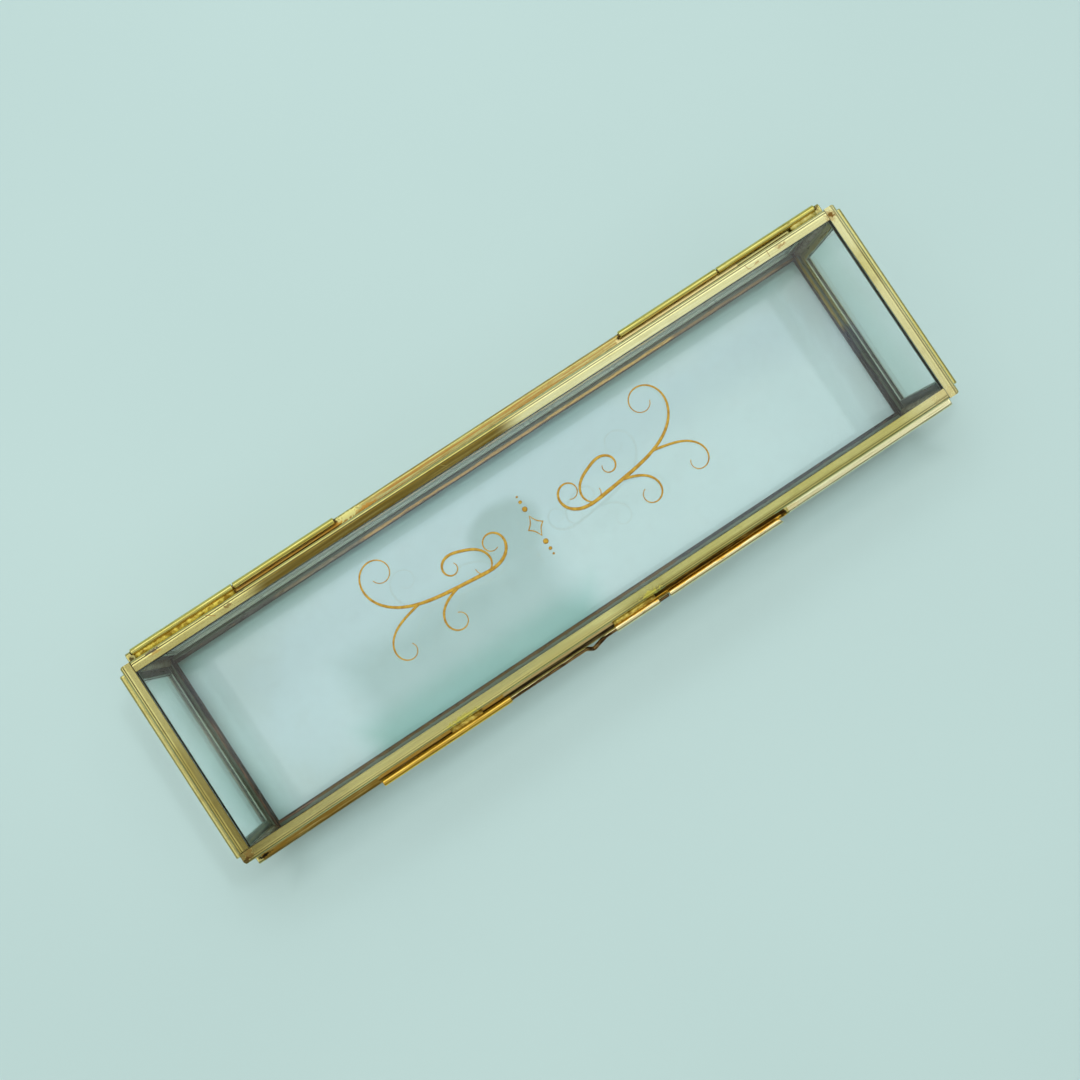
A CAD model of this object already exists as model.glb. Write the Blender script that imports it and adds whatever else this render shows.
"""Looks of the glass casket: folded brass channel, solder, tubes, wire, panes and a gilt scroll on the lid.

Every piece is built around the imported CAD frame. Lengths are in millimetres until a mesh is made, and
colours are the three values from 0 to 255 that they have in a picture. A lit one may lie above 255.
"""
from math import atan2, copysign, cos, dist, pi, radians, sin, sqrt, tan

import bmesh
import bpy
from mathutils import Matrix, Vector, noise


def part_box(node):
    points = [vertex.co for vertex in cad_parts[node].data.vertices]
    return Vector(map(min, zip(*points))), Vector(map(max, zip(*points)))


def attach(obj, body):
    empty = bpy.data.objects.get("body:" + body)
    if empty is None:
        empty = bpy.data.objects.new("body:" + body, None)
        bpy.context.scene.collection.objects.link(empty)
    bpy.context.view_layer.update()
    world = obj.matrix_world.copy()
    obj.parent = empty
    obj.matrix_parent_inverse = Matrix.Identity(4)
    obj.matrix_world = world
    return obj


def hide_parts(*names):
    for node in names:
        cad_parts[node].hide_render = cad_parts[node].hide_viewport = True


MM = 0.001

# ---- camera, fitted to the photograph ----
CAMERA_AT = (-18.76, -12.74, 400.28)
CAMERA_AIM = (-1.5, -1.5, 24)
CAMERA_TURN = 33.4  # degrees clockwise from +Y to the picture's upward direction
LENS = 45
SENSOR = 36

# ---- folded brass channel ----
SHEET = 0.4
FOLD_R = 0.8  # outer radius of the two folds
FOLD_STEPS = 5
CREASE = 0.08  # depth of the bending crease beside each fold
CREASE_AT = 0.15  # distance of that crease from the fold
CREASE_HALF = 0.11  # half its width
INSIDE_FACES = 6  # faces across the flange that lies inside the box
RING_STEP = 1.6  # distance between cross sections along a rail
END_STEP = 0.25  # distance between cross sections near an end
BUTT_GAP = 0.1  # dark gap where a rail butts against its neighbour
PLUG_DOME = 0.15  # height of the drop of solder that closes a free end
CORNER_R = 0.45  # rounding of a free corner, seen from above
BUTT_R = 0.08  # rounding of a corner that butts against a neighbour
LIP_TILT = 0.05  # average drop of a flange's lip towards the glass
LIP_SWAY = 0.04  # how much that drop changes along a rail
WEB_BOW = 0.05  # average bow of a web towards the glass
WEB_DENT = 0.03  # average dent of a flange beside its web
FLUSH = 0.05  # ends closer together than this lie in one plane
SHEET_TONES = ((208, 203, 140), (200, 192, 120), (152, 132, 60))  # pale, middle and deep

# ---- solder, tubes and wire ----
TUBE_R = 1
PIN_BORE, BOLT_BORE = 0.56, 0.66  # radii of the bores
TUBE_LIP = 0.08  # rounding of a tube's sawn ends
TUBE_LUMPS = 0.012  # average dent of a tube
SEAM_GROOVE = 0.14  # depth of the groove where the rolled sheet meets
SEAM_SPREAD = 0.16  # half the groove's width, in radians
SOLDER_STEP = 0.35
FILLET_TOP = 0.72  # depth below a tube's axis at which its fillet begins, inside the tube's wall
HALF_NECK = 0.5  # half the width of a fillet at its tube
FOOT_MOST = 0.95  # most that a fillet's foot reaches to each side of its tube's axis
RIGHT_PATCH_L = 8.5  # length of the solder that holds the right lid tube, at its outer end
GUIDE_PATCH = (-49.2, -39.6)  # ends of the solder that holds the long guide tube
LID_FILL_IN, BODY_FILL_IN = 0.2, 0.3  # bare length at both ends of a soldered tube
KEEPER_CUT = 30  # degrees of slant at the keeper's right end
KEEPER_BARE = 2  # bare length beside that slant
WIRE_R = 0.6
WIRE_BEND = 0.7  # distance from a bend's corner at which the wire starts to turn
FINGER_X = (-8.25, -6.3, -1.95)  # the finger bend's left end, tip and right end
FINGER_IN = 0.64  # from the sides of the bolt's box to the wire's axis at the tip
PIN_R, HEAD_L, HEAD_DOME = 0.5, 0.45, 0.38
PIN_SHINE = 0.6  # from a pin's outer side to the line where its bright side begins
BASE_RUN_GAP = 5.1  # from the base solder's box to the end of a run, at each end

# ---- studio ----
CEILING = (220, 218, 206)
# rings of the studio from the ceiling down: heights at which each starts and is full, and shade
SKY_RINGS = [
    (0.935, 0.915, (284, 286, 276)),
    (0.8, 0.74, (180, 182, 172)),
    (0.42, 0.2, (150, 152, 140)),
]
SOUTH_LEVEL, NORTH_LEVEL = 0.52, 1.42
BACKDROP = (194, 221, 217)
# soft patches overhead: middle and half size as slopes from straight up, and shade
SKY_PATCHES = [
    ((0.05, 0.04), (0.3, 0.09), (252, 264, 280)),
    ((0.22, 0.14), (0.17, 0.06), (262, 264, 262)),
    ((0.19, -0.02), (0.15, 0.08), (262, 272, 276)),
    ((0.028, 0.05), (0.03, 0.024), (90, 104, 104)),
    ((-0.29, -0.04), (0.08, 0.11), (84, 80, 60)),
]
# a soft dark panel overhead: lowest and highest corner as slopes, and blur
SKY_PANEL = ((-0.128, -0.034), (0.044, 0.034), 0.035)
PANEL_SHADE = (50, 64, 64)
FLOOR_R = 8000
FLOOR_TONES = ((194, 220, 223), (197, 223, 226))
FAR_FLOOR = (216, 248, 255)
FAR_FROM, FAR_TO = 400, 1500  # distances over which the floor takes its far tone
FOOTPRINT = ((-112.5, -31), (112.5, 31), 1)  # lowest and highest corner, and blur
# soft shade on the floor: lowest and highest corner, blur, share and factors of the colour
GREEN_SHADE = (0.54, 0.78, 0.71, 1)
GREY_SHADE = (0.56, 0.62, 0.61, 1)
SHADES_UNDER = [
    ((-140, 25), (140, 90), 12, 1, GREEN_SHADE),
    ((-74, -90), (4, -20), 14, 0.85, GREEN_SHADE),
    ((-150, -60), (-104, 60), 10, 0.5, GREEN_SHADE),
]
SHADES_BESIDE = [
    ((-121, -30), (-90, 30), 8, 0.4, GREEN_SHADE),
    ((90, -30), (123, 30), 8, 0.36, GREEN_SHADE),
    ((-114, -44), (114, -20), 10, 0.4, GREY_SHADE),
]
# softboxes: name, place, size and power
LAMPS = [
    ("softbox_left", (-0.16, 0.1, 0.95), (0.09, 0.05), 0.8),
    ("softbox_right", (0.24, 0.1, 0.95), (0.09, 0.05), 0.8),
    ("softbox_back", (0.05, 0.33, 0.9), (0.5, 0.3), 1.3),
]
LAMP_AIM = (0, 0, 0.02)

# ---- marks on the lid ----
LID_TOP = 48.6
LID_TARNISH = ((-72, 20), (8, 40), 9)  # lowest and highest corner, and blur
# stretches of the lid in another tone: lowest corner, highest corner, share and shade
LID_TONES = [
    ((8, 16), (120, 44), 0.7, (230, 230, 186)),
    ((-80, -60), (6, -14), 0.75, (240, 234, 160)),
    ((6, -60), (100, -14), 0.5, (184, 182, 106)),
    ((98, -50), (140, 6), 0.6, (236, 232, 186)),
    ((-140, -50), (-104, 4), 0.6, (132, 112, 40)),
]
# stains: centre, half size, share, shade and roughness
LID_RUNS = [
    ((-44.6, -29.7), (5, 0.75), 0.85, (226, 218, 104), 0.35),
    ((13.9, -29.7), (3, 0.75), 0.85, (226, 218, 104), 0.35),
]
LID_STAINS = [
    ((-102.4, 28.9), (2.2, 0.4), 0.85, (128, 118, 104), 0.6),
    ((-101.6, 28.1), (2, 0.35), 0.5, (190, 140, 50), 0.4),
    ((-81.5, 29.4), (1.6, 0.3), 0.7, (130, 122, 100), 0.6),
    ((-75, 29.4), (1.3, 0.3), 0.7, (120, 112, 104), 0.6),
    ((-79.3, 28), (1.6, 0.5), 0.6, (120, 80, 36), 0.5),
    ((109.4, 27.4), (0.75, 0.75), 0.95, (52, 36, 22), 0.6),
    ((109.2, 27.1), (1.5, 1.5), 0.4, (176, 128, 52), 0.4),
    ((-109.6, -28.6), (1.3, 1.3), 0.6, (120, 82, 40), 0.5),
    ((-110.9, -29.7), (0.9, 0.9), 0.7, (96, 62, 34), 0.55),
    ((108, -29), (3.5, 1.8), 0.2, (196, 160, 90), 0.3),
    ((93.8, 27.9), (1.6, 0.45), 0.45, (178, 120, 66), 0.5),
    ((85.6, 27.6), (0.8, 0.3), 0.45, (178, 120, 66), 0.5),
]
# scratches: both ends, width and shade
LID_SCRATCHES = [
    ((-85.8, 29.1), (-83.6, 27.5), 0.14, (176, 120, 40)),
    ((82.7, 28.7), (82.9, 27.4), 0.12, (150, 98, 40)),
    ((82.9, 27.4), (83.8, 27.2), 0.12, (150, 98, 40)),
    ((89.7, 28.9), (89.6, 27), 0.12, (140, 90, 36)),
    ((92, 28.3), (93.3, 28.5), 0.1, (160, 104, 50)),
    ((-14, 28.9), (-12.4, 27.3), 0.09, (150, 140, 90)),
]

# ---- marks on the rim and on the inside flanges ----
RIM_TOP = 45
# dirt, flux and heat colours on the rim's top: lowest corner, highest corner, shade and roughness
RIM_BURNS = [
    ((-77.5, 29.4), (-43, 31.2), (228, 172, 74), 0.3),
    ((-77.5, 29.4), (-43, 30.3), (26, 18, 10), 0.6),
    ((43.5, 29.4), (82, 31.2), (246, 226, 160), 0.25),
    ((43.5, 29.4), (82, 30.1), (26, 18, 10), 0.6),
    ((82, 29.4), (98, 30.2), (92, 56, 22), 0.6),
    ((-108, -33), (-72, -30.3), (140, 108, 40), 0.35),
    ((-72, -33), (-33, -30.3), (190, 146, 60), 0.3),
    ((-72, -31.75), (-33, -31.3), (34, 24, 12), 0.6),
    ((-33, -33), (14, -30.3), (200, 176, 120), 0.3),
    ((-33, -32), (14, -31.2), (30, 22, 12), 0.6),
    ((14, -33), (56, -30.3), (255, 196, 70), 0.25),
    ((14, -31.5), (56, -30.3), (34, 24, 12), 0.6),
    ((57, -33), (109.5, -30.7), (252, 248, 206), 0.18),
]
# where the rim is clean, and where it is ochre: lowest and highest corner, and blur
RIM_CLEAN = ((57, -36), (110, -26), 1)
RIM_OCHRE = ((-52, 26), (70, 40), 6)
RIM_STAINS = [
    ((-107.2, -31.3), (2, 0.45), 0.95, (24, 24, 20), 0.6),
    ((58.6, -31.4), (2.2, 0.6), 0.3, (224, 190, 110), 0.3),
    ((55.2, -31.6), (1.2, 0.7), 0.9, (36, 22, 12), 0.5),
    ((-41, 31.2), (3.2, 1.1), 0.9, (232, 226, 150), 0.35),
    ((-35.5, 30.6), (3, 0.5), 0.7, (206, 140, 50), 0.3),
    ((108.2, 31.8), (0.8, 0.8), 0.9, (96, 62, 26), 0.5),
    ((-108.6, 30.6), (0.6, 0.6), 0.8, (60, 44, 24), 0.5),
]
# zones of another tone on the inside flanges: lowest corner, highest corner and shade
WALL_ZONES = [
    ((-113, 12, 0), (-104, 31, 46), (50, 52, 46)),
    ((104, 2, 0), (114, 27, 46), (178, 168, 84)),
    ((104, -28, 0), (116, 2, 46), (40, 50, 48)),
]
BASE_ZONES = [
    ((-113, 7), (-104, 40), (30, 32, 34)),
    ((-104, 18), (-74, 44), (96, 100, 92)),
    ((-74, 18), (-44, 44), (170, 160, 130)),
    ((-44, 18), (20, 44), (240, 196, 116)),
    ((20, 18), (66, 44), (255, 212, 120)),
    ((66, 18), (104, 44), (176, 150, 104)),
    ((104, 2), (116, 27), (160, 146, 66)),
    ((104, -40), (116, 2), (24, 32, 34)),
    ((-96, -44), (30, -18), (106, 80, 14)),
    ((30, -44), (104, -18), (60, 66, 64)),
]

# ---- gilt scroll ----
SCROLL_AT = (-1.5, 1.5)
SCROLL_LIFT = 0.005  # height of the paint's underside above the glass
# strokes of the right half: middle, heading, (length, turn, power) ahead and behind, width
STROKES = [
    ((19, -3), 6, (56, 430, 3.2), (26, -400, 2), 1),
    ((20.5, 5.4), 20, (15, -330, 1.7), (17, 260, 2), 0.8),
    ((26, -2.4), -16, (22, -330, 2), (0.5, 0, 1), 0.75),
    ((37, -0.4), -12, (25, -300, 2.6), (0.5, 0, 1), 0.7),
]
STROKE_TIP = 0.24  # width of a stroke at its ends
# painted beads: place and radius
BEADS = [(0, 5.2, 0.75), (0, -4.8, 0.75), (0, 7.4, 0.5), (0, -7, 0.5), (0, 9, 0.32), (0, -8.6, 0.32)]
LOZENGE = (2.2, 3, 0.5)  # half width, half height and line width

# ---- the frame's rails ----
X, Y, Z = Vector((1, 0, 0)), Vector((0, 1, 0)), Vector((0, 0, 1))
FLAT_RAILS = {"front_rail": Y, "back_rail": -Y, "left_rail": X, "right_rail": -X}
SIDE_RAILS = {"top_rail": -Z, "bottom_rail": Z, "left_stile": X, "right_stile": -X}
END_RAILS = {"top_rail": -Z, "bottom_rail": Z, "front_stile": Y, "back_stile": -Y}
# panel: its outward direction, and each rail with the direction its flanges point
PANELS = {
    "lid": (Z, FLAT_RAILS),
    "base": (-Z, FLAT_RAILS),
    "front": (-Y, SIDE_RAILS),
    "back": (Y, SIDE_RAILS),
    "left": (-X, END_RAILS),
    "right": (X, END_RAILS),
}


# ---- small tools ----

def box_mm(node):
    """Lowest and highest corner of a CAD node, in millimetres."""
    low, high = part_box(node)
    return low / MM, high / MM


def wobble(*place):
    """Smooth repeatable noise from -1 to 1."""
    return noise.noise(Vector(place))


def turns(count):
    """Angles of points spread evenly round a circle."""
    return [2 * pi * i / count for i in range(count)]


def quarter(steps):
    """Angles of a quarter turn, from 0, in so many steps."""
    return [pi / 2 * i / steps for i in range(steps + 1)]


def add_object(name, data):
    """Object of a mesh, light or camera, in the scene."""
    obj = bpy.data.objects.new(name, data)
    bpy.context.scene.collection.objects.link(obj)
    return obj


def add_mesh(name, points, faces, looks, face_slots=None):
    """Smooth mesh object from points in millimetres, with the materials of the given names."""
    mesh = bpy.data.meshes.new(name)
    mesh.from_pydata([Vector(p) * MM for p in points], [], faces)
    for look in looks:
        mesh.materials.append(bpy.data.materials[look])
    if face_slots:
        mesh.polygons.foreach_set("material_index", face_slots)
    mesh.polygons.foreach_set("use_smooth", [True] * len(mesh.polygons))
    mesh.validate()
    work = bmesh.new()
    work.from_mesh(mesh)
    bmesh.ops.recalc_face_normals(work, faces=work.faces)
    work.to_mesh(mesh)
    work.free()
    return add_object(name, mesh)


def sharpen(obj, angle):
    """Keeps edges crisp where faces meet at more than this angle."""
    obj.data.set_sharp_from_angle(angle=radians(angle))


def bridge(rings, caps=True):
    """Points and faces that join closed rings of equal length, with both ends capped."""
    count = len(rings[0])
    last = (len(rings) - 1) * count
    points = [p for ring in rings for p in ring]
    faces = []
    for here in range(0, last, count):
        for i in range(count):
            j = (i + 1) % count
            faces.append((here + i, here + j, here + count + j, here + count + i))
    if caps:
        faces.append(tuple(range(count - 1, -1, -1)))
        faces.append(tuple(last + i for i in range(count)))
    return points, faces


def bridge_loop(rings):
    """Joins rings as bridge does, with the last one joined to the first."""
    points, faces = bridge(rings + rings[:1], caps=False)
    keep = len(points) - len(rings[0])
    return points[:keep], [tuple(i % keep for i in face) for face in faces]


def join(parts):
    """Several pairs of points and faces as one pair."""
    points, faces = [], []
    for more, added in parts:
        faces += [tuple(i + len(points) for i in face) for face in added]
        points += more
    return points, faces


def stations(length, step, end_step, ends=3):
    """Places along a length, closer together near both ends."""
    near = [i * end_step for i in range(ends)]
    span = length - 2 * ends * end_step
    count = max(1, round(span / step))
    middle = [ends * end_step + span * i / count for i in range(count + 1)]
    return near + middle + [length - n for n in reversed(near)]


def finish_piece(obj, body, slot, *nodes):
    """Rides a piece on its body, names its finish and hides the CAD nodes that it stands for."""
    if nodes:
        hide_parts(*nodes)
    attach(obj, body)


# ---- materials ----

def colour(*shade):
    """Linear colour from the three values, 0...255, of a picture."""
    parts = [v / 255 for v in shade]
    linear = [v / 12.92 if v <= 0.04045 else ((v + 0.055) / 1.055) ** 2.4 for v in parts]
    return (*linear, 1)


class Look:
    """A new material or world in the making, with the tone and roughness that it has so far.

    A socket takes a number, a colour or another node's output.
    """

    def __init__(self, name, kind="materials"):
        owner = getattr(bpy.data, kind).new(name)
        owner.use_nodes = True
        self.tree = owner.node_tree
        self.tree.nodes.clear()
        if kind == "materials":
            # where a point is on the piece, in millimetres
            self.place = self.scale(self.node("TexCoord")["Object"], (1 / MM,) * 3)

    def node(self, kind, inputs=None, **settings):
        """Adds a node and gives its outputs. Three values for a colour socket are those of a picture."""
        made = self.tree.nodes.new("ShaderNode" + kind)
        for key, value in settings.items():
            setattr(made, key, value)
        for key, value in (inputs or {}).items():
            socket = made.inputs[key]
            if isinstance(value, bpy.types.NodeSocket):
                self.tree.links.new(value, socket)
            elif socket.type == "RGBA" and len(value) == 3:
                socket.default_value = colour(*value)
            elif value is not None:
                socket.default_value = value
        return made.outputs

    def on_rail(self, name):
        """A point's strip (way along, way round, rail's number) or section (off the web, height, width)."""
        return self.node("Attribute", attribute_name=name)["Vector"]

    def math(self, operation, a, b=None, clamp=False):
        return self.node("Math", {0: a, 1: b}, operation=operation, use_clamp=clamp)[0]

    def times(self, a, b):
        return self.math("MULTIPLY", a, b)

    def less(self, a, b):
        return self.math("SUBTRACT", a, b)

    def vector(self, operation, a, b=None):
        """Result of vector math, be it a vector or a number."""
        outputs = self.node("VectorMath", {0: a, 1: b}, operation=operation)
        return next(output for output in outputs if output.enabled)

    def scale(self, vector, by):
        return self.vector("MULTIPLY", vector, by)

    def shrink(self, vector, by):
        """A vector times a number."""
        return self.node("VectorMath", {0: vector, "Scale": by}, operation="SCALE")[0]

    def split(self, vector):
        return self.node("SeparateXYZ", {0: vector})[:3]

    def noise(self, vector, scale, detail, roughness):
        inputs = {"Vector": vector, "Scale": scale, "Detail": detail, "Roughness": roughness}
        return self.node("TexNoise", inputs)["Fac"]

    def grain(self, scale, detail=3, roughness=0.55):
        """Noise that is alike in all directions."""
        return self.noise(self.place, scale, detail, roughness)

    def streaks(self, vector, stretch, detail=4, roughness=0.65):
        """Noise that is drawn out, or packed closer, by a factor for each axis."""
        return self.noise(self.scale(vector, stretch), 1, detail, roughness)

    def span(self, value, low, high, to_low=0, to_high=1):
        """Value from low...high to to_low...to_high, held at both ends."""
        inputs = {"Value": value, "From Min": low, "From Max": high, "To Min": to_low, "To Max": to_high}
        return self.node("MapRange", inputs, clamp=True, interpolation_type="SMOOTHSTEP")[0]

    def stray(self, value, noise, by):
        """Value that strays up to so much to both sides with a noise."""
        return self.math("ADD", value, self.span(noise, 0.3, 0.7, -by, by))

    def fade(self, share, a, b):
        """Number that goes from a to b."""
        return self.node("Mix", {0: share, 2: a, 3: b}, data_type="FLOAT")[0]

    def bump(self, height, strength, distance):
        inputs = {"Height": height, "Strength": strength, "Distance": distance}
        return self.node("Bump", inputs)["Normal"]

    def near(self, centre, size, ragged, scale):
        """1 inside an ellipsoid of the given half sizes, fading to 0 at its ragged rim."""
        away = self.scale(self.vector("SUBTRACT", self.place, centre), tuple(1 / s for s in size))
        return self.span(self.stray(self.vector("LENGTH", away), self.grain(scale), ragged), 1.1, 0.7)

    def block(self, low, high, blur):
        """1 inside a box, or between sides alone, fading to 0 over the blur distance at its faces."""
        inside = None
        for value, a, b in zip(self.split(self.place), low, high):
            edge = self.math("MINIMUM", self.less(value, a), self.less(b, value))
            inside = edge if inside is None else self.math("MINIMUM", inside, edge)
        return self.span(inside, -blur / 2, blur / 2)

    def lay(self, shade, share, blend="MIX"):
        """Covers a share of the tone with a shade."""
        inputs = {0: share, 6: self.tone, 7: shade}
        self.tone = self.node("Mix", inputs, data_type="RGBA", blend_type=blend)[2]

    def coat(self, shade, value, low, high, most=1):
        """Lays on a shade, from none where the value is low to the most where it is high."""
        self.lay(shade, self.span(value, low, high, 0, most))

    def stain(self, mask, share, shade, roughness):
        """Lays a shade with its own roughness where the mask is 1."""
        self.lay(shade, self.times(mask, share))
        self.rough = self.fade(mask, self.rough, roughness)

    def stains(self, rows, z, half_height):
        for centre, size, share, shade, roughness in rows:
            mask = self.near((*centre, z), (*size, half_height), 0.45, 1.6)
            self.stain(mask, share, shade, roughness)

    def finish(self, metallic=0, normal=None, specular=0.5):
        """Ends the material in a shader of its tone and roughness."""
        inputs = {"Base Color": self.tone, "Roughness": self.rough, "Metallic": metallic}
        inputs.update({"Normal": normal, "Specular IOR Level": specular})
        self.node("OutputMaterial", {"Surface": self.node("BsdfPrincipled", inputs)[0]})


def brass(name, marks=None):
    """Satin brass sheet: drawn lines along the rail, slow changes of tone, a dark crease and dull spots."""
    t = Look(name)
    strip = t.on_rail("strip")
    across, _, width = t.split(t.on_rail("section"))
    slow = t.streaks(strip, (0.035, 0.1, 1), 3, 0.6)
    lines = t.streaks(strip, (0.1, 4.5, 1))
    fine = t.streaks(strip, (0.45, 16, 1), 2, 0.6)
    speck = t.span(t.grain(1.5, 4, 0.7), 0.68, 0.75)
    t.tone, mid, deep = SHEET_TONES
    t.coat(mid, slow, 0.3, 0.7)
    t.coat(deep, t.grain(0.16, 4, 0.6), 0.5, 0.75, 0.4)
    t.coat(deep, lines, 0.48, 0.75, 0.45)
    t.coat(deep, t.grain(4, 2, 0.7), 0.45, 0.75, 0.45)
    off_crease = t.math("ABSOLUTE", t.less(across, FOLD_R + CREASE_AT))
    crease = t.times(t.span(off_crease, 0.14, 0.03), t.span(slow, 0.3, 0.6, 1, 0.7))
    t.lay((92, 62, 24), t.times(speck, 0.6))
    t.lay((74, 54, 20), t.math("MAXIMUM", crease, t.span(t.less(width, across), 0.2, 0.08)))
    t.rough = t.math("ADD", t.span(lines, 0.3, 0.7, 0.13, 0.23), t.times(speck, 0.25))
    if marks:
        marks(t)
    t.finish(1, t.bump(t.math("ADD", t.times(lines, 0.5), t.times(fine, 0.5)), 0.25, 0.00003))


def scratch(t, start, end, width):
    """1 along a thin line from start to end, fading at its sides."""
    way = Vector(end) - Vector(start)
    from_start = t.vector("SUBTRACT", t.place, start)
    along = t.vector("DOT_PRODUCT", from_start, tuple(way / way.length_squared))
    foot = t.shrink(tuple(way), t.math("ADD", along, 0, clamp=True))
    return t.span(t.vector("DISTANCE", from_start, foot), width, width * 0.4)


def lid_marks(t):
    """Wear, solder stains and scratches that belong to one place on the lid."""
    across = t.split(t.on_rail("section"))[0]
    streak = t.streaks(t.on_rail("strip"), (0.05, 3, 1))
    tarnish = t.times(t.block(*LID_TARNISH), t.span(across, 0.95, 1.1))
    t.stain(t.times(tarnish, t.span(streak, 0.3, 0.6, 0.7, 1)), 0.95, (102, 82, 26), 0.24)
    for low, high, share, shade in LID_TONES:
        t.stain(t.times(t.block(low, high, 12), t.span(streak, 0.3, 0.6, 1, 0.6)), share, shade, 0.2)
    t.stains(LID_RUNS, LID_TOP - 0.2, 1.4)
    t.stains(LID_STAINS, LID_TOP, 1)
    for start, end, width, shade in LID_SCRATCHES:
        t.stain(scratch(t, (*start, LID_TOP), (*end, LID_TOP), width), 0.8, shade, 0.45)


def rim_marks(t):
    """Dirt on the rim along the lid's edge, and burnt flux beside the hinge tubes."""
    x, y, _ = t.split(t.place)
    low, high = box_mm("lid_left_rail")[0], box_mm("lid_right_rail")[1]
    out_x = t.less(t.math("ABSOLUTE", x), (high.x - low.x) / 2)
    out_y = t.less(t.math("ABSOLUTE", t.less(y, (high.y + low.y) / 2)), (high.y - low.y) / 2)
    dirt = t.span(t.stray(t.math("MAXIMUM", out_x, out_y), t.grain(0.5), 0.12), 0.5, 0.12)
    flake = t.streaks(t.place, (0.1, 2.2, 1))
    streak = t.streaks(t.on_rail("strip"), (0.045, 3, 1))
    t.stain(t.times(t.block(*RIM_OCHRE), t.span(streak, 0.44, 0.6)), 0.75, (180, 122, 40), 0.25)
    t.stain(dirt, t.fade(t.block(*RIM_CLEAN), 0.85, 0.15), (40, 30, 14), 0.6)
    for low, high, shade, roughness in RIM_BURNS:
        burnt = t.block((*low, RIM_TOP - 1), (*high, RIM_TOP + 1), 0.25)
        t.stain(t.times(burnt, t.span(flake, 0.36, 0.52, 0.55, 1)), 0.95, shade, roughness)
    t.stains(RIM_STAINS, RIM_TOP, 1)


def patina(name, dark, warm, fleck_tone, foot, foot_tone, lip_tone, zones):
    """Inside flanges: tarnish in two tones, a lip of its own tone, flecks, and zones of another tone.

    The foot is the distance from the lip at which the next sheet or pane begins, with a tone of its own.
    """
    t = Look(name)
    strip = t.on_rail("strip")
    across, _, width = t.split(t.on_rail("section"))
    streak = t.streaks(strip, (0.06, 2.6, 1))
    cloud = t.streaks(strip, (0.1, 0.8, 1))
    t.tone = dark
    t.coat(warm, streak, 0.4, 0.6)
    for low, high, shade in zones:
        t.lay(shade, t.times(t.block(low, high, 4), t.span(streak, 0.3, 0.5, 0.5, 1)))
    t.coat((44, 44, 40), t.grain(2.5, 3, 0.7), 0.5, 0.75, 0.5)
    t.lay(fleck_tone, t.times(t.span(t.streaks(strip, (0.5, 2.2, 1), 4, 0.7), 0.58, 0.72), 0.6))
    from_lip = t.stray(t.less(width, across), cloud, 0.14)
    t.coat(foot_tone, from_lip, foot - 0.1, foot + 0.1, 0.9)
    t.coat(lip_tone, from_lip, 0.26, 0.1, 0.75)
    t.rough = t.span(cloud, 0.3, 0.7, 0.24, 0.42)
    t.finish(0.55, t.bump(t.grain(1.2, 4, 0.6), 0.4, 0.00006))


def grime(name, dark, light):
    """Cement and dirt inside a channel, seen through the edge of the glass."""
    t = Look(name)
    t.tone, t.rough = dark, 0.7
    t.coat(light, t.grain(0.9), 0.4, 0.7)
    t.finish(0.2, t.bump(t.grain(2.5), 0.3, 0.00005))


def tube_brass(name, pale, warm, stained, stained_from, stained_to):
    """Drawn tube with fine lines along X, heat-stained on the side where it was soldered."""
    t = Look(name)
    lines = t.streaks(t.place, (0.1, 5, 5))
    cloud = t.streaks(t.place, (0.22, 1.2, 1.2))
    t.tone = pale
    t.coat(warm, lines, 0.35, 0.7)
    y = t.stray(t.split(t.place)[1], cloud, 0.25)
    t.lay(stained, t.times(t.span(y, stained_from, stained_to), 0.85))
    t.coat((92, 62, 26), cloud, 0.6, 0.74, 0.75)
    t.rough = t.span(lines, 0.3, 0.7, 0.14, 0.24)
    t.finish(1, t.bump(lines, 0.25, 0.00003))


def solder(name, bright, dull):
    """Brushed-on solder: lumpy, in a bright and a dull tone, with dark pits."""
    t = Look(name)
    crest = t.grain(2.2, 3, 0.6)
    t.tone = bright
    t.coat(dull, t.grain(0.6, 5, 0.65), 0.38, 0.62)
    t.coat((60, 44, 24), crest, 0.62, 0.75, 0.6)
    t.rough = t.span(crest, 0.3, 0.7, 0.3, 0.55)
    t.finish(0.8, t.bump(t.grain(1.6, 4, 0.6), 0.6, 0.0001))


def wire(name, axis_y):
    """Steel wire, dark and brownish, rubbed bright along the side towards the lid."""
    t = Look(name)
    lines = t.streaks(t.place, (0.4, 6, 6), 3, 0.6)
    cloud = t.streaks(t.place, (0.12, 1, 1), 3, 0.6)
    t.tone = (170, 136, 86)
    t.coat((84, 60, 36), cloud, 0.4, 0.56)
    off = t.stray(t.less(t.split(t.place)[1], axis_y), cloud, 0.08)
    t.coat((34, 24, 16), off, -0.22, 0.02)
    t.coat((240, 226, 180), off, 0.14, 0.26)
    t.rough = t.span(lines, 0.3, 0.7, 0.16, 0.32)
    t.finish(1, t.bump(lines, 0.25, 0.00003))


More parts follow.
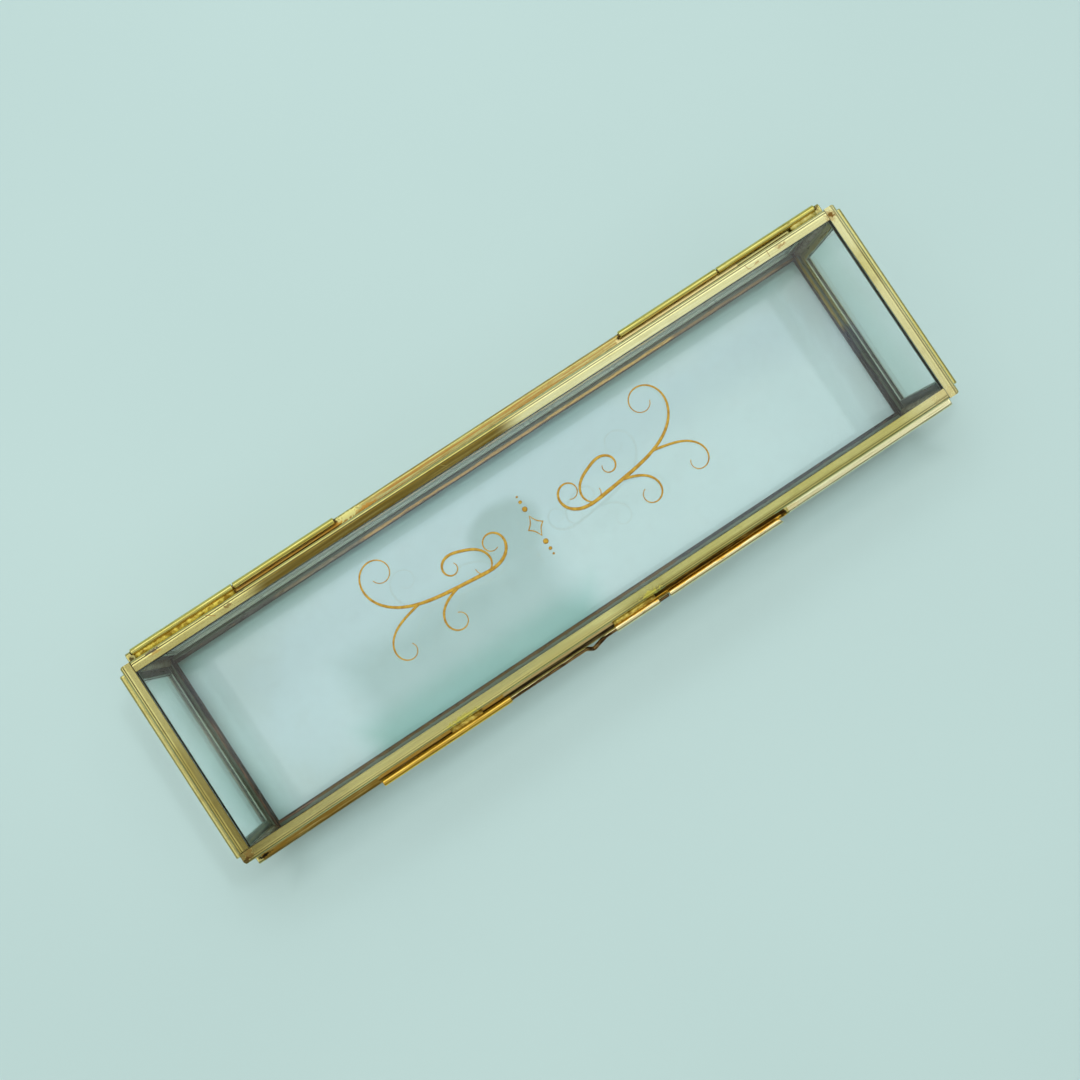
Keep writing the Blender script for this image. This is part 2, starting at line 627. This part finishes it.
def pane_glass(name):
    """Clear glass, faintly aqua, wavy and dusty. Shadow rays and diffuse rays pass straight through it."""
    t = Look(name)
    normal = t.bump(t.grain(0.02, 2, 0.4), 0.01, 0.002)
    inputs = {"Color": (0.984, 1, 1, 1), "Roughness": 0, "IOR": 1.45, "Normal": normal}
    glass = t.node("BsdfGlass", inputs)[0]
    haze = t.node("BsdfDiffuse", {"Color": (0.8, 0.86, 0.85, 1)})[0]
    dust = t.span(t.grain(0.12, 5, 0.65), 0.45, 0.8, 0, 0.02)
    seen = t.node("MixShader", {0: dust, 1: glass, 2: haze})[0]
    clear = t.node("BsdfTransparent", {"Color": (1, 1, 1, 1)})[0]
    path = t.node("LightPath")
    passing = t.math("MAXIMUM", path["Is Shadow Ray"], path["Is Diffuse Ray"])
    both = t.node("MixShader", {0: passing, 1: seen, 2: clear})[0]
    t.node("OutputMaterial", {"Surface": both})


def gilding(name):
    """Gold paint put on with a pen: uneven, browner where it is thick."""
    t = Look(name)
    t.tone, t.rough = (212, 172, 60), 0.42
    t.coat((176, 132, 34), t.grain(0.9, 4, 0.7), 0.35, 0.65)
    t.finish(0.25, t.bump(t.grain(3, 3, 0.6), 0.4, 0.00004))


# ---- folded channel ----

def fold_section(width, thick):
    """Outer and inner outline of the folded channel from one lip to the other, as (across, height).

    Each flange has the shallow crease that the bending tool leaves beside its fold.
    """
    def bend(radius):
        return [(FOLD_R - radius * sin(a), FOLD_R - radius * cos(a)) for a in quarter(FOLD_STEPS)]

    flat = width - FOLD_R
    flange = [(width, 0), (FOLD_R + 0.66 * flat, 0), (FOLD_R + 0.33 * flat, 0)]
    for offset, depth in ((CREASE_HALF, 0), (0, CREASE), (-CREASE_HALF, 0)):
        flange.append((FOLD_R + CREASE_AT + offset, depth))
    outer = flange + bend(FOLD_R)
    inner = [(y, SHEET) for y, _ in flange] + bend(FOLD_R - SHEET)
    outer_top = [(y, thick - z) for y, z in reversed(outer)]
    inner_top = [(y, thick - z) for y, z in reversed(inner)]
    return outer + [(0, thick / 2)] + outer_top, inner + [(SHEET, thick / 2)] + inner_top


def rail_frame(node, across, height):
    """Matrix from rail coordinates (along, across, height) to the CAD frame, and the rail's sizes."""
    axes = (across.cross(height), across, height)
    low, high = box_mm(node)
    starts = [min(low.dot(a), high.dot(a)) for a in axes]
    sizes = [abs((high - low).dot(a)) for a in axes]
    origin = sum((a * s for a, s in zip(axes, starts)), Vector())
    return Matrix.Translation(origin) @ Matrix(axes).transposed().to_4x4(), sizes


def free_ends(panel, matrix, length):
    """Whether each end of a rail is an outer corner of its panel."""
    boxes = [box_mm(f"{panel}_{rail}") for rail in PANELS[panel][1]]
    along = matrix.to_3x3() @ X
    ends = [p.dot(along) for pair in boxes for p in pair]
    start = matrix.translation.dot(along)
    return start - min(ends) < FLUSH, max(ends) - start - length < FLUSH


def corner_inset(x, radius):
    """How far a rounded corner of this radius draws the web in, at distance x from the end."""
    if x >= radius:
        return 0
    return radius - sqrt(max(0, radius ** 2 - (radius - x) ** 2))


def rail_ring(x, inset, seed, rows, width, thick):
    """A cross section at x, along the outer row and back along the inner one.

    Each entry is a point, followed by the values there of the attributes strip and section.
    """
    bow = WEB_BOW + WEB_BOW * wobble(x * 0.03, seed, 5)
    ring = []
    for row in rows:
        arc = 0
        before = row[0]
        for y, z in row:
            arc += dist(before, (y, z))
            before = (y, z)
            drop = y / width * (LIP_TILT + LIP_SWAY * wobble(x * 0.05, seed, z))
            near_web = 1 - min(1, y / width)
            dent = near_web * WEB_DENT * (1 + wobble(x * 0.12, seed, z + 9))
            shift = drop + dent
            point = (x, y + (inset + bow) * near_web, z - shift if z > thick / 2 else z + shift)
            ring.append((point, (x, arc, seed), (y, z, width)))
    half = len(rows[0])
    return ring[:half] + ring[:half - 1:-1]


def close_ends(data, faces, slots, half, frees, sizes):
    """Closes the sheet's thickness at both ends of a rail, and a free end with a drop of solder."""
    whole = 2 * half
    last = len(data) - whole
    seed = data[0][1][2]
    for i in range(half - 1):
        j = whole - 1 - i
        faces.append((i, j, j - 1, i + 1))
        faces.append((last + i + 1, last + j - 1, last + j, last + i))
        slots += [0, 0]
    for free, ring, way in ((frees[0], whole, 1), (frees[1], last - whole, -1)):
        if free:
            rim = [ring + whole - 1 - i for i in range(half)]
            tip = (data[rim[0]][0][0] - way * PLUG_DOME, sizes[1] * 0.55, sizes[2] * 0.5)
            faces += [(a, b, len(data)) for a, b in zip(rim, rim[1:] + rim[:1])]
            slots += [3] * half
            data.append((tip, (tip[0], 0, seed), (tip[1], tip[2], sizes[1])))


def rail_mesh(name, sizes, frees, seed, looks):
    """One folded channel in rail coordinates, slightly uneven as hand-folded sheet is."""
    length, width, thick = sizes
    rows = fold_section(width, thick)
    start = 0 if frees[0] else BUTT_GAP
    end = length if frees[1] else length - BUTT_GAP
    radii = [CORNER_R if free else BUTT_R for free in frees]
    rings = []
    for s in stations(end - start, RING_STEP, END_STEP):
        x = start + s
        inset = max(corner_inset(x - start, radii[0]), corner_inset(end - x, radii[1]))
        rings.append(rail_ring(x, inset, seed, rows, width, thick))
    data, faces = bridge(rings, caps=False)
    half = len(rows[0])
    around = [1] * INSIDE_FACES + [0] * (half - 1 - INSIDE_FACES) + [1] + [2] * (half - 1) + [1]
    slots = around * (len(rings) - 1)
    close_ends(data, faces, slots, half, frees, sizes)
    points, strips, sections = zip(*data)
    obj = add_mesh(name, points, faces, looks, slots)
    for label, values in (("strip", strips), ("section", sections)):
        layer = obj.data.attributes.new(label, "FLOAT_VECTOR", "POINT")
        layer.data.foreach_set("vector", [v for value in values for v in value])
    sharpen(obj, 40)
    return obj


def make_rails():
    """The channels of all panels, each in brass with its own inside, filling and solder."""
    seed = 1
    for panel, (outward, rails) in PANELS.items():
        for rail, inward in rails.items():
            node = f"{panel}_{rail}"
            matrix, sizes = rail_frame(node, inward, outward)
            frees = free_ends(panel, matrix, sizes[0])
            outside = "brass_rim_sheet" if rail == "top_rail" else "brass_sheet"
            face = "brass_lid_sheet" if panel == "lid" else outside
            inside = "base_patina" if panel == "base" else "wall_patina"
            within = "channel_putty" if node == "back_bottom_rail" else "channel_grime"
            obj = rail_mesh(node + "_channel", sizes, frees, seed, [face, inside, within, "seam_solder"])
            obj.data.transform(Matrix.Scale(MM, 4) @ matrix @ Matrix.Scale(1 / MM, 4))
            finish_piece(obj, "lid" if panel == "lid" else "body", "channel_brass", node)
            seed += 3.7


# ---- tubes ----

def tube_ring(x, axis, radius, seam=None, lumps=0, skew=0):
    """One circle round a tube along X, with the groove where the rolled sheet meets."""
    y, z = axis
    ring = []
    for a in turns(36):
        r = radius
        if seam is not None:
            gap = abs((a - seam + pi) % (2 * pi) - pi)
            r -= SEAM_GROOVE * max(0, 1 - gap / SEAM_SPREAD)
        r -= lumps * (1 + wobble(x * 0.25, cos(a) * 1.5, sin(a) * 1.5))
        py, pz = y + r * cos(a), z + r * sin(a)
        ring.append((x - skew * (py - y + 1), py, pz))
    return ring


def add_tube(name, body, node, axis, bore, seam, look, skew=0):
    """A rolled tube with a real bore and slightly rounded sawn ends. Gives the places of both ends."""
    low, high = box_mm(node)
    start, end = low.x, high.x
    seam = radians(seam)
    rings = [tube_ring(start, axis, TUBE_R - TUBE_LIP, seam)]
    for s in stations(end - start - 2 * TUBE_LIP, 1.2, 0.3):
        x = start + TUBE_LIP + s
        lean = skew * ((x - start) / (end - start)) ** 8
        rings.append(tube_ring(x, axis, TUBE_R, seam, TUBE_LUMPS, lean))
    rings.append(tube_ring(end, axis, TUBE_R - TUBE_LIP, seam, skew=skew))
    rings += [tube_ring(end, axis, bore, skew=skew), tube_ring(start, axis, bore)]
    obj = add_mesh(name, *bridge_loop(rings), [look])
    sharpen(obj, 50)
    finish_piece(obj, body, "tube_brass", node)
    return start, end


def add_fillet(name, body, ends, axis, directions, profile, look):
    """A ragged solder fillet along X. profile(x, size) gives its outline in the two directions."""
    start, end = ends
    across, depth = directions
    steps = max(4, round((end - start) / SOLDER_STEP))
    rings = []
    for k in range(steps + 1):
        x = start + (end - start) * k / steps
        size = min(1, 0.35 + 0.65 * min(k, steps - k) / 3)
        rings.append([Vector((x, *axis)) + across * a + depth * d for a, d in profile(x, size)])
    finish_piece(add_mesh(name, *bridge(rings), [look]), body, "solder")


def neck(reach, half_foot, seed):
    """Profile of a fillet from inside a tube's wall to the face it is soldered to, ragged along X."""
    def outline(x, size):
        def half(width, spot):
            rag = 1 + 0.22 * wobble(x * 1.1, seed, spot) + 0.13 * wobble(x * 3.1, seed, spot + 4)
            return width * size * rag

        def side(way, top, waist, foot):
            return [(way * half(HALF_NECK, top), FILLET_TOP),
                    (way * half(HALF_NECK * 0.9, waist), reach * 0.55),
                    (way * min(FOOT_MOST, half(half_foot, foot)), reach)]

        return side(-1, 1, 2, 3) + side(1, 7, 6, 5)[::-1]
    return outline


def keeper_leg(x, _size):
    """Profile of the solder on the lid's side of the keeper, down to the rim."""
    rag = 1 + 0.15 * wobble(x * 1.3, 31, 1)
    return [(0.25, 0.76), (0.2, 1.38), (0.95 * rag, 1.38), (0.9 * rag, 0.9), (0.78, 0.52)]


def make_hinge_tubes():
    """Hinge tubes of the lid and the box, each with the solder that holds it."""
    low, high = box_mm("lid_knuckle_left")
    axis = (high.y - TUBE_R, (high.z + low.z) / 2)
    to_lid = neck(axis[0] - box_mm("lid_back_rail")[1].y, 0.9, 3)
    to_rim = axis[1] - box_mm("back_top_rail")[1].z
    for side, seed, fill in (("left", 10, "yellow_solder"), ("right", 12, "leaf_solder")):
        start, end = add_tube(f"lid_hinge_tube_{side}", "lid", f"lid_knuckle_{side}", axis,
                              PIN_BORE, 200, "hinge_tube_brass")
        if side == "right":
            start = end - RIGHT_PATCH_L
        ends = (start + LID_FILL_IN, end - LID_FILL_IN)
        add_fillet(f"lid_hinge_solder_{side}", "lid", ends, axis, (Z, -Y), to_lid, fill)
        start, end = add_tube(f"body_hinge_tube_{side}", "body", f"body_knuckle_{side}", axis,
                              PIN_BORE, 122, "hinge_tube_brass")
        ends = (start + BODY_FILL_IN, end - BODY_FILL_IN)
        add_fillet(f"body_hinge_solder_{side}", "body", ends, axis, (Y, -Z),
                   neck(to_rim, 0.95, seed), "brassy_solder")


def bolt_axis():
    """Y and Z of the axis that the bolt shares with its tubes."""
    low, high = box_mm("bolt_guide_long")
    return low.y + TUBE_R, (low.z + high.z) / 2


def make_bolt_tubes():
    """The bolt's guide tubes on the lid and its keeper on the rim, each with its solder."""
    axis = bolt_axis()
    to_lid = neck(box_mm("bolt_guide_long")[1].y - axis[0], 0.9, 21)
    for node, look in (("bolt_guide_long", "guide_tube_brass"), ("bolt_guide_short", "keeper_tube_brass")):
        start, end = add_tube(node + "_tube", "lid", node, axis, BOLT_BORE, 300, look)
        whole = (start + LID_FILL_IN, end - LID_FILL_IN)
        ends = GUIDE_PATCH if node == "bolt_guide_long" else whole
        add_fillet(node + "_solder", "lid", ends, axis, (Z, Y), to_lid, "brassy_solder")
    cut = tan(radians(KEEPER_CUT))
    start, end = add_tube("keeper_rolled_tube", "body", "keeper_tube", axis, BOLT_BORE, 300,
                          "keeper_tube_brass", cut)
    ends = (start + BODY_FILL_IN, end - KEEPER_BARE)
    add_fillet("keeper_solder", "body", ends, axis, (Y, -Z), keeper_leg, "brassy_solder")


# ---- wire pieces ----

def sweep(run):
    """Rings of a round wire along a run of points, each with its radius, without twist."""
    rings = []
    side = None
    for k, (point, radius) in enumerate(run):
        before, after = run[max(k - 1, 0)][0], run[min(k + 1, len(run) - 1)][0]
        way = (after - before).normalized()
        if side is None:
            side = way.orthogonal().normalized()
        side = (side - way * side.dot(way)).normalized()
        up = way.cross(side)
        rings.append([point + (side * cos(a) + up * sin(a)) * radius for a in turns(20)])
    return rings


def rounded_path(corners, bend, steps=7):
    """A path through corners, each turned on a curve that starts and ends at distance bend from it."""
    path = [corners[0]]
    for before, here, after in zip(corners, corners[1:], corners[2:]):
        a = here + (before - here).normalized() * bend
        b = here + (after - here).normalized() * bend
        for i in range(steps + 1):
            t = i / steps
            path.append(a * (1 - t) ** 2 + here * 2 * t * (1 - t) + b * t ** 2)
    path.append(corners[-1])
    return path


def domed(path, radius, steps=5):
    """A path's points with their radius, and a round nose at both ends."""
    noses = []
    for tip, beside in ((path[0], path[1]), (path[-1], path[-2])):
        way = (beside - tip).normalized()
        noses.append([(tip + way * radius * 0.6 * (1 - cos(a)), radius * max(0.15, sin(a)))
                      for a in quarter(steps)])
    return noses[0] + [(point, radius) for point in path[1:-1]] + noses[1][::-1]


def make_bolt():
    """Slide bolt: one wire with a V-shaped finger bend that leans outwards and down."""
    low, high = box_mm("slide_bolt")
    left, tip, right = FINGER_X
    corners = [Vector((x, *bolt_axis())) for x in (low.x, left, right, high.x)]
    corners.insert(2, Vector((tip, low.y + FINGER_IN, low.z + FINGER_IN)))
    run = domed(rounded_path(corners, WIRE_BEND), WIRE_R)
    obj = add_mesh("slide_bolt_wire", *bridge(sweep(run)), ["bolt_wire"])
    finish_piece(obj, "bolt", "wire", "slide_bolt")


def make_pins():
    """Hinge pins with hammered heads."""
    for side in ("left", "right"):
        node = f"hinge_pin_{side}"
        low, high = box_mm(node)
        y, z = (low.y + high.y) / 2, (low.z + high.z) / 2
        head_r = (high.y - low.y) / 2
        profile = [(HEAD_DOME * (1 - cos(a)), max(0.1, head_r * sin(a))) for a in quarter(4)]
        profile += [(HEAD_L, head_r - 0.03), (HEAD_L, PIN_R)]
        profile += [(high.x - low.x - x, r) for x, r in reversed(profile)]
        rings = [[(low.x + x, y + r * cos(a), z + r * sin(a)) for a in turns(24)]
                 for x, r in profile]
        obj = add_mesh(node + "_wire", *bridge(rings), ["pin_wire"])
        sharpen(obj, 50)
        finish_piece(obj, "body", "wire", node)


# ---- seams ----

def corner_seam_rings(low, high, seed):
    """Cross sections of a lumpy upright strip in a corner notch, drawn in at both ends."""
    sx, sy = copysign(1, low.x), copysign(1, low.y)
    inner_x, outer_x = sorted((abs(low.x), abs(high.x)))
    inner_y, outer_y = sorted((abs(low.y), abs(high.y)))
    outline = [(inner_x, inner_y), (inner_x, outer_y), (inner_x + 0.75, outer_y - 0.45),
               (outer_x - 0.45, inner_y + 0.55), (outer_x, inner_y - 0.8), (inner_x + 0.8, inner_y - 0.8)]
    rings = []
    steps = round((high.z - low.z) / 0.6)
    for k in range(steps + 1):
        z = low.z + (high.z - low.z) * k / steps
        shrink = (1 - min(1, (k + 1) / 3, (steps - k + 1) / 3)) * 0.5
        ring = []
        for i, (x, y) in enumerate(outline):
            lump = 0.22 * wobble(z * 0.7, seed, i * 1.7) + 0.1 * wobble(z * 2.3, seed, i * 2.1)
            if 1 <= i <= 4:
                x -= shrink + abs(lump)
                y -= shrink + abs(lump)
            ring.append((sx * x, sy * y, z))
        rings.append(ring if sx * sy > 0 else ring[::-1])
    return rings


def make_corner_seams():
    """The four upright solder seams."""
    for k, corner in enumerate(("front_left", "front_right", "back_left", "back_right")):
        node = f"seam_{corner}"
        rings = corner_seam_rings(*box_mm(node), 40 + 7 * k)
        obj = add_mesh(f"corner_solder_{corner}", *bridge(rings), ["seam_solder"])
        finish_piece(obj, "body", "solder", node)


def base_seam_rings(length, leg, seed):
    """Lumpy three-cornered run along X: the corner at the origin, one leg outward (-Y) and one down."""
    rings = []
    for x in stations(length, 0.8, 0.3):
        near_end = min(1, 0.3 + x / 1.2, 0.3 + (length - x) / 1.2)
        lumps = 0.8 + 0.13 * wobble(x * 0.5, seed, 1) + 0.07 * wobble(x * 1.9, seed, 2)
        s = leg * near_end * lumps
        outline = [(0, 0), (-s, 0), (-0.55 * s, -0.22 * s), (-0.22 * s, -0.55 * s), (0, -s)]
        rings.append([(x - length / 2, y, z) for y, z in outline])
    return rings


def make_base_seams():
    """Solder in the angle between each wall and the base."""
    low, high = box_mm("base_seams")
    leg = high.z - low.z
    side = (high.x - low.x - 2 * leg - 2 * BASE_RUN_GAP, low.y + leg)
    end = (high.y - low.y - 2 * leg - 2 * BASE_RUN_GAP, low.x + leg)
    parts = []
    for k, ((length, inner), turn) in enumerate(((side, 0), (end, 270), (side, 180), (end, 90))):
        spin = Matrix.Rotation(radians(turn), 4, "Z") @ Matrix.Translation((0, inner, high.z))
        points, faces = bridge(base_seam_rings(length, leg, 60 + 9 * k))
        parts.append(([spin @ Vector(p) for p in points], faces))
    obj = add_mesh("base_solder", *join(parts), ["seam_solder"])
    finish_piece(obj, "body", "solder", "base_seams")


# ---- gilt scroll ----

def curl(x, y, heading, length, turn, power, steps=60):
    """Half a scroll: leaves (x, y) at a heading and turns tighter and tighter."""
    points = [(x, y)]
    for i in range(steps):
        a = radians(heading + turn * ((i + 0.5) / steps) ** power)
        x += cos(a) * length / steps
        y += sin(a) * length / steps
        points.append((x, y))
    return points


def stroke_rings(stroke, z, mirror):
    """Low domed cross sections of a pen stroke, thin at both ends."""
    (x, y), heading, ahead, behind, width = stroke
    path = curl(x, y, heading + 180, *behind)[::-1] + curl(x, y, heading, *ahead)[1:]
    rings = []
    for k, (px, py) in enumerate(path):
        a, b = path[max(k - 1, 0)], path[min(k + 1, len(path) - 1)]
        way = atan2(b[1] - a[1], b[0] - a[0])
        swell = max(0, sin(pi * k / (len(path) - 1))) ** 1.5
        half = (STROKE_TIP + (width - STROKE_TIP) * swell) / 2
        half *= 1 + 0.1 * wobble(px * 1.4, py * 1.4, width)
        ring = []
        for side, height in ((-1, 0), (-0.7, 0.03), (0, 0.045), (0.7, 0.03), (1, 0)):
            qx = px - sin(way) * half * side
            qy = py + cos(way) * half * side
            ring.append((SCROLL_AT[0] + mirror * qx, SCROLL_AT[1] + qy, z + height))
        rings.append(ring[::-1] if mirror > 0 else ring)
    return rings


def bead_rings(x, y, radius, z):
    """A low dome of paint, slightly out of round."""
    x, y = SCROLL_AT[0] + x, SCROLL_AT[1] + y
    rings = []
    for share, height in ((1, 0), (0.7, 0.03), (0.15, 0.045)):
        ring = []
        for a in turns(14):
            r = radius * share * (1 + 0.12 * wobble(cos(a) + x, sin(a) + y, 3))
            ring.append((x + r * cos(a), y + r * sin(a), z + height))
        rings.append(ring)
    return rings


def lozenge_rings(z, steps=8):
    """A small open lozenge drawn with the same pen, its sides curved inward."""
    half_w, half_h, line = LOZENGE
    tips = [(half_w, 0), (0, half_h), (-half_w, 0), (0, -half_h)]
    rings = []
    for (ax, ay), (bx, by) in zip(tips, tips[1:] + tips[:1]):
        for i in range(steps):
            u = i / steps
            pull = 1 - 0.75 * u * (1 - u)
            x, y = (ax + (bx - ax) * u) * pull, (ay + (by - ay) * u) * pull
            away = Vector((x / half_w, y / half_h)).normalized()
            thick = line * (0.6 + 0.4 * abs(2 * u - 1)) / 2
            ring = []
            for side, height in ((-1, 0), (-0.6, 0.035), (0.6, 0.035), (1, 0)):
                qx, qy = x + away.x * thick * side, y + away.y * thick * side
                ring.append((SCROLL_AT[0] + qx, SCROLL_AT[1] + qy, z + height))
            rings.append(ring)
    return rings


def make_scroll():
    """A traditional scroll in gold paint on the lid's glass, with no lettering."""
    z = box_mm("lid_glass")[1].z + SCROLL_LIFT
    parts = [bridge(stroke_rings(stroke, z, mirror)) for mirror in (1, -1) for stroke in STROKES]
    parts += [bridge(bead_rings(x, y, radius, z)) for x, y, radius in BEADS]
    parts.append(bridge_loop(lozenge_rings(z)))
    obj = add_mesh("gilt_scroll", *join(parts), ["gold_paint"])
    finish_piece(obj, "lid", "tube_brass")


# ---- panes, stage, light and camera ----

def dress_panes():
    """The CAD panes stay as they are, in glass."""
    for panel in PANELS:
        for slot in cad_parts[f"{panel}_glass"].material_slots:
            slot.material = bpy.data.materials["pane_glass"]


def make_stage():
    """Pale matt floor with the photograph's soft shade under and beside the box."""
    t = Look("pale_floor")
    t.tone, t.rough = FLOOR_TONES[0], 0.9
    t.coat(FLOOR_TONES[1], t.grain(0.004, 2), 0.3, 0.7)
    t.coat(FAR_FLOOR, t.vector("LENGTH", t.place), FAR_FROM, FAR_TO)
    under = t.block(*FOOTPRINT)
    for shades, where in ((SHADES_UNDER, under), (SHADES_BESIDE, t.less(1, under))):
        for low, high, blur, share, dark in shades:
            t.lay(dark, t.times(t.times(t.block(low, high, blur), where), share), "MULTIPLY")
    t.finish(specular=0.1)
    rim = [(FLOOR_R * cos(a), FLOOR_R * sin(a), 0) for a in turns(128)]
    add_mesh("floor", rim, [tuple(range(len(rim)))], ["pale_floor"])


def make_world():
    """Pale studio: a bright ceiling with a soft dark panel, a brighter ring round it, and dimmer walls.

    The camera sees one plain pale colour instead, so the background stays even, and so does what shows
    of it through a pane.
    """
    t = Look("studio", "worlds")
    bpy.context.scene.world = bpy.data.worlds["studio"]
    way = t.node("TexCoord")["Generated"]
    _, north, height = t.split(way)
    slope = t.shrink(way, t.math("DIVIDE", 1, t.math("MAXIMUM", height, 0.05)))
    t.place = t.scale(slope, (1, 1, 0))
    t.tone = CEILING
    for start, full, shade in SKY_RINGS:
        t.coat(shade, height, start, full)
    for centre, size, shade in SKY_PATCHES:
        t.lay(shade, t.near((*centre, 0), (*size, 1), 0.15, 9))
    t.lay(PANEL_SHADE, t.block(*SKY_PANEL))
    level = t.span(north, -0.75, 0.75, SOUTH_LEVEL, NORTH_LEVEL)
    lit = t.node("Background", {"Color": t.tone, "Strength": level})[0]
    plain = t.node("Background", {"Color": BACKDROP, "Strength": 1})[0]
    ray = t.node("LightPath")
    through = t.times(ray["Is Transmission Ray"], t.span(height, 0.45, 0.25))
    seen = t.math("MAXIMUM", ray["Is Camera Ray"], through)
    both = t.node("MixShader", {0: seen, 1: lit, 2: plain})[0]
    t.node("OutputWorld", {"Surface": both})


def make_lights():
    """Softboxes that light dull things; what polished things mirror is the studio round them."""
    for name, at, size, power in LAMPS:
        data = bpy.data.lights.new(name, "AREA")
        data.shape = "RECTANGLE"
        data.size, data.size_y = size
        data.energy = power
        lamp = add_object(name, data)
        lamp.location = at
        lamp.rotation_euler = (Vector(LAMP_AIM) - Vector(at)).to_track_quat("-Z", "Y").to_euler()
        lamp.visible_glossy = False
        lamp.visible_transmission = False


def make_camera():
    """Camera at the photograph's place, turned so that the picture's upward direction matches."""
    place, aim = Vector(CAMERA_AT) * MM, Vector(CAMERA_AIM) * MM
    ahead = (aim - place).normalized()
    turn = radians(CAMERA_TURN)
    up = Vector((sin(turn), cos(turn), 0))
    right = ahead.cross(up).normalized()
    up = right.cross(ahead)
    data = bpy.data.cameras.new("photo_camera")
    data.lens, data.sensor_width = LENS, SENSOR
    data.clip_start = 0.01
    camera = add_object("photo_camera", data)
    camera.matrix_world = Matrix.Translation(place) @ Matrix((right, up, -ahead)).transposed().to_4x4()
    bpy.context.scene.camera = camera


def make_looks():
    """All materials of the pieces."""
    brass("brass_sheet")
    brass("brass_lid_sheet", lid_marks)
    brass("brass_rim_sheet", rim_marks)
    patina("wall_patina", (66, 84, 74), (120, 128, 90), (176, 150, 84), 2.9, (40, 44, 40),
           (160, 184, 168), WALL_ZONES)
    patina("base_patina", (54, 58, 54), (146, 112, 88), (206, 160, 96), 0.95, (112, 132, 118),
           (24, 24, 22), BASE_ZONES)
    grime("channel_putty", (176, 190, 176), (140, 152, 138))
    grime("channel_grime", (26, 28, 24), (58, 50, 34))
    tube_brass("hinge_tube_brass", (222, 216, 136), (196, 186, 88), (216, 176, 92), 31.3, 30.9)
    tube_brass("guide_tube_brass", (240, 204, 96), (190, 146, 58), (255, 206, 70), -32.9, -33.2)
    tube_brass("keeper_tube_brass", (252, 244, 200), (232, 218, 156), (255, 190, 48), -32.55, -32.1)
    solder("seam_solder", (156, 146, 112), (112, 98, 66))
    solder("brassy_solder", (226, 204, 100), (150, 120, 44))
    solder("yellow_solder", (232, 214, 96), (150, 120, 34))
    solder("leaf_solder", (214, 206, 130), (180, 166, 84))
    wire("bolt_wire", bolt_axis()[0])
    wire("pin_wire", box_mm("hinge_pin_left")[1].y - PIN_SHINE)
    pane_glass("pane_glass")
    gilding("gold_paint")


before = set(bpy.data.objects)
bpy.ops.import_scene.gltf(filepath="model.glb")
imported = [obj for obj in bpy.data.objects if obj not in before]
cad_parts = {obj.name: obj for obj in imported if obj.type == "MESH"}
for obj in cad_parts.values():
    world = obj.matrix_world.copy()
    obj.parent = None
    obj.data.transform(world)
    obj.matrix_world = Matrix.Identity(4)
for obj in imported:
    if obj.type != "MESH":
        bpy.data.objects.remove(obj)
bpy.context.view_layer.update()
bpy.context.scene.view_settings.view_transform = "Standard"
make_looks()
make_camera()
make_stage()
make_world()
make_lights()
make_rails()
make_hinge_tubes()
make_bolt_tubes()
make_bolt()
make_pins()
make_corner_seams()
make_base_seams()
make_scroll()
dress_panes()
